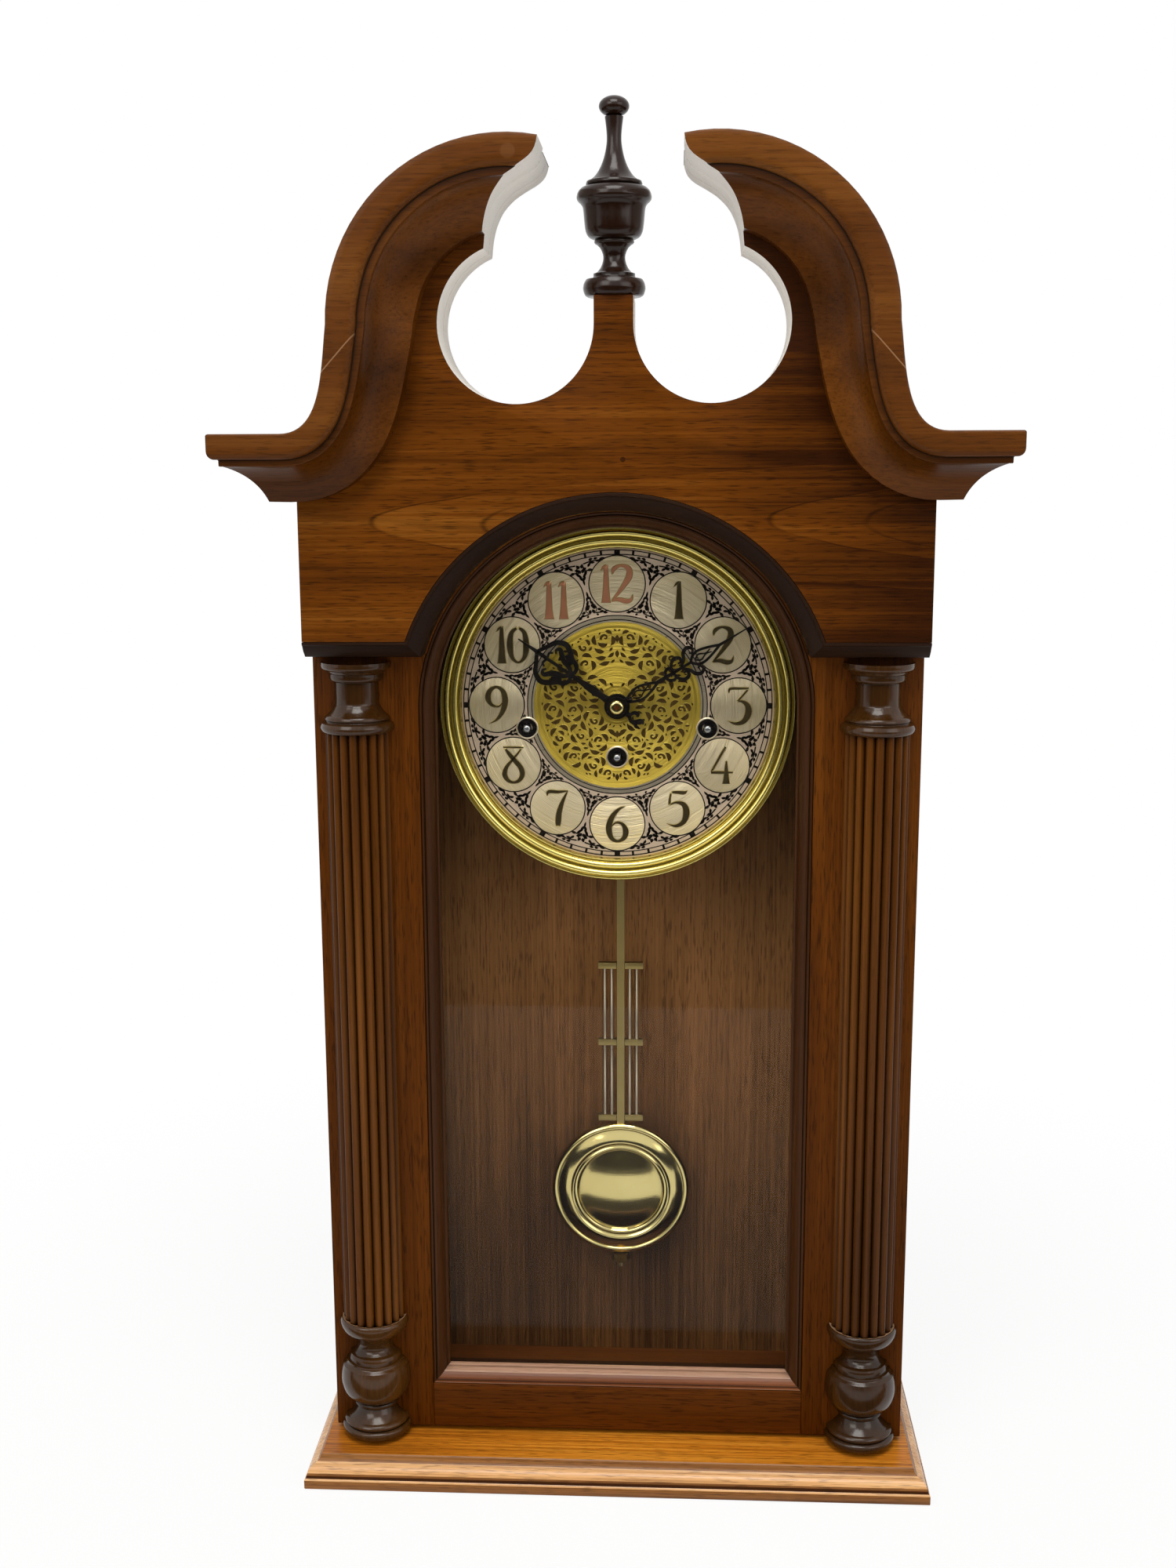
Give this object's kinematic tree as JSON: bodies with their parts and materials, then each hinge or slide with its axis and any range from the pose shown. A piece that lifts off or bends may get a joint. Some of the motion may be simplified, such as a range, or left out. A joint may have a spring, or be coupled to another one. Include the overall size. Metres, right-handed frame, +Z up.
{
  "type": "musical wall clock",
  "caption": "Glazed wall clock with a hinged full-front door, swan-neck pediment, half columns, gilt and silvered dial, chiming movement and swinging gridiron pendulum.",
  "frame": {"origin": "middle of the footprint's box, on the underside of the plinth", "axes": "+X to the right of someone facing the dial, +Y back towards the wall, +Z up"},
  "size_m": [0.43, 0.18, 0.8104],
  "materials": {
    "red_brown_wood": "semi-gloss lacquer over stained grain",
    "dark_wood": "dark stain under gloss lacquer",
    "back_board": "satin, upright grain",
    "gilt_brass": "polished and lacquered",
    "brass": "satin",
    "silvered_metal": "silvered, with black print",
    "steel": "plain",
    "black_metal": "black, semi-gloss",
    "glass": "clear"
  },
  "bodies": {
    "case": {"base_plinth": "red_brown_wood", "left_side_panel": "red_brown_wood", "right_side_panel": "red_brown_wood", "top_panel": "red_brown_wood", "back_panel": "back_board", "hanger_plate": "steel", "hinge_case_leaf_upper": "brass", "hinge_case_leaf_lower": "brass", "magnet_catch": "black_metal", "bezel": "gilt_brass", "chapter_ring": "silvered_metal", "dial_centre": "gilt_brass", "dial_plate": "brass", "front_plate": "brass", "back_plate": "brass", "movement_bracket": "steel", "suspension_cock": "brass", "chime_rods": "steel", "hammer_rail": "steel"},
    "door": {"left_stile": "red_brown_wood", "right_stile": "red_brown_wood", "bottom_rail": "red_brown_wood", "pediment_backing": "red_brown_wood", "pediment_board": "red_brown_wood", "hood_edge_trim": "dark_wood", "swan_neck_left": "red_brown_wood", "swan_neck_right": "red_brown_wood", "cornice_return_left": "red_brown_wood", "cornice_return_right": "red_brown_wood", "finial": "dark_wood", "column_left": "dark_wood", "column_right": "dark_wood", "door_glass": "glass", "glass_bead": "dark_wood", "glass_retainer": "dark_wood", "hinge_door_leaf_upper": "brass", "hinge_door_leaf_lower": "brass", "catch_strike": "steel"},
    "minute_work": {"minute_hand": "black_metal", "hand_nut": "brass", "centre_arbor": "brass"},
    "hour_work": {"hour_hand": "black_metal", "hour_wheel": "brass"},
    "minute_wheel": {"minute_wheel": "brass"},
    "time_barrel": {"time_barrel": "brass"},
    "strike_barrel": {"strike_barrel": "brass"},
    "chime_barrel": {"chime_barrel": "brass"},
    "winding_time": {"winding_arbor_time": "steel"},
    "winding_strike": {"winding_arbor_strike": "steel"},
    "winding_chime": {"winding_arbor_chime": "steel"},
    "escape_wheel": {"escape_wheel": "brass"},
    "anchor": {"pallet_anchor": "steel"},
    "pendulum": {"pendulum_rod": "steel", "pendulum_grid": "brass", "pendulum_bob": "gilt_brass"},
    "rating_nut": {"rating_nut": "brass"},
    "hammer_1": {"hammer_1": "brass"},
    "hammer_2": {"hammer_2": "brass"},
    "hammer_3": {"hammer_3": "brass"},
    "hammer_4": {"hammer_4": "brass"}
  },
  "joints": [
    {"name": "door_hinge", "type": "hinge", "parent": "case", "child": "door", "pos_m": [0.1767, -0.00475, 0.28], "axis": [0, 0, 1], "range_deg": [0, 110]},
    {"name": "minute_spin", "type": "hinge", "parent": "case", "child": "minute_work", "pos_m": [0, 0.01, 0.476], "axis": [0, 1, 0], "continuous": true},
    {"name": "hour_spin", "type": "hinge", "parent": "case", "child": "hour_work", "pos_m": [0, 0.01, 0.476], "axis": [0, 1, 0], "continuous": true},
    {"name": "minute_wheel_spin", "type": "hinge", "parent": "case", "child": "minute_wheel", "pos_m": [0.01018, 0.0125, 0.48618], "axis": [0, 1, 0], "continuous": true},
    {"name": "time_barrel_spin", "type": "hinge", "parent": "case", "child": "time_barrel", "pos_m": [0, 0.03, 0.445], "axis": [0, 1, 0], "continuous": true},
    {"name": "strike_barrel_spin", "type": "hinge", "parent": "case", "child": "strike_barrel", "pos_m": [-0.0536, 0.03, 0.4623], "axis": [0, 1, 0], "continuous": true},
    {"name": "chime_barrel_spin", "type": "hinge", "parent": "case", "child": "chime_barrel", "pos_m": [0.0536, 0.03, 0.4623], "axis": [0, 1, 0], "continuous": true},
    {"name": "time_winding", "type": "hinge", "parent": "case", "child": "winding_time", "pos_m": [0, 0.02, 0.445], "axis": [0, 1, 0], "continuous": true},
    {"name": "strike_winding", "type": "hinge", "parent": "case", "child": "winding_strike", "pos_m": [-0.0536, 0.02, 0.4623], "axis": [0, 1, 0], "continuous": true},
    {"name": "chime_winding", "type": "hinge", "parent": "case", "child": "winding_chime", "pos_m": [0.0536, 0.02, 0.4623], "axis": [0, 1, 0], "continuous": true},
    {"name": "escape_spin", "type": "hinge", "parent": "case", "child": "escape_wheel", "pos_m": [0, 0.027, 0.498], "axis": [0, 1, 0], "continuous": true},
    {"name": "pendulum_swing", "type": "hinge", "parent": "case", "child": "pendulum", "pos_m": [0, 0.064, 0.518], "axis": [0, 1, 0], "range_deg": [-4.5, 4.5]},
    {"name": "anchor_rock", "type": "hinge", "parent": "case", "child": "anchor", "pos_m": [0, 0.04, 0.518], "axis": [0, 1, 0], "range_deg": [-4.5, 4.5]},
    {"name": "rating_nut_turn", "type": "hinge", "parent": "pendulum", "child": "rating_nut", "pos_m": [0, 0.064, 0.0967], "axis": [0, 0, 1], "continuous": true},
    {"name": "hammer_1_lift", "type": "hinge", "parent": "case", "child": "hammer_1", "pos_m": [-0.032, 0.0672, 0.532], "axis": [1, 0, 0], "range_deg": [-20, 0]},
    {"name": "hammer_2_lift", "type": "hinge", "parent": "case", "child": "hammer_2", "pos_m": [-0.02, 0.0672, 0.532], "axis": [1, 0, 0], "range_deg": [-20, 0]},
    {"name": "hammer_3_lift", "type": "hinge", "parent": "case", "child": "hammer_3", "pos_m": [0.02, 0.0672, 0.532], "axis": [1, 0, 0], "range_deg": [-20, 0]},
    {"name": "hammer_4_lift", "type": "hinge", "parent": "case", "child": "hammer_4", "pos_m": [0.032, 0.0672, 0.532], "axis": [1, 0, 0], "range_deg": [-20, 0]}
  ],
  "couplings": [
    {"joint": "hour_spin", "follows": "minute_spin", "ratio": 0.083333},
    {"joint": "minute_wheel_spin", "follows": "minute_spin", "ratio": -0.33333},
    {"joint": "time_barrel_spin", "follows": "minute_spin", "ratio": -0.095238},
    {"joint": "anchor_rock", "follows": "pendulum_swing", "ratio": 1}
  ]
}
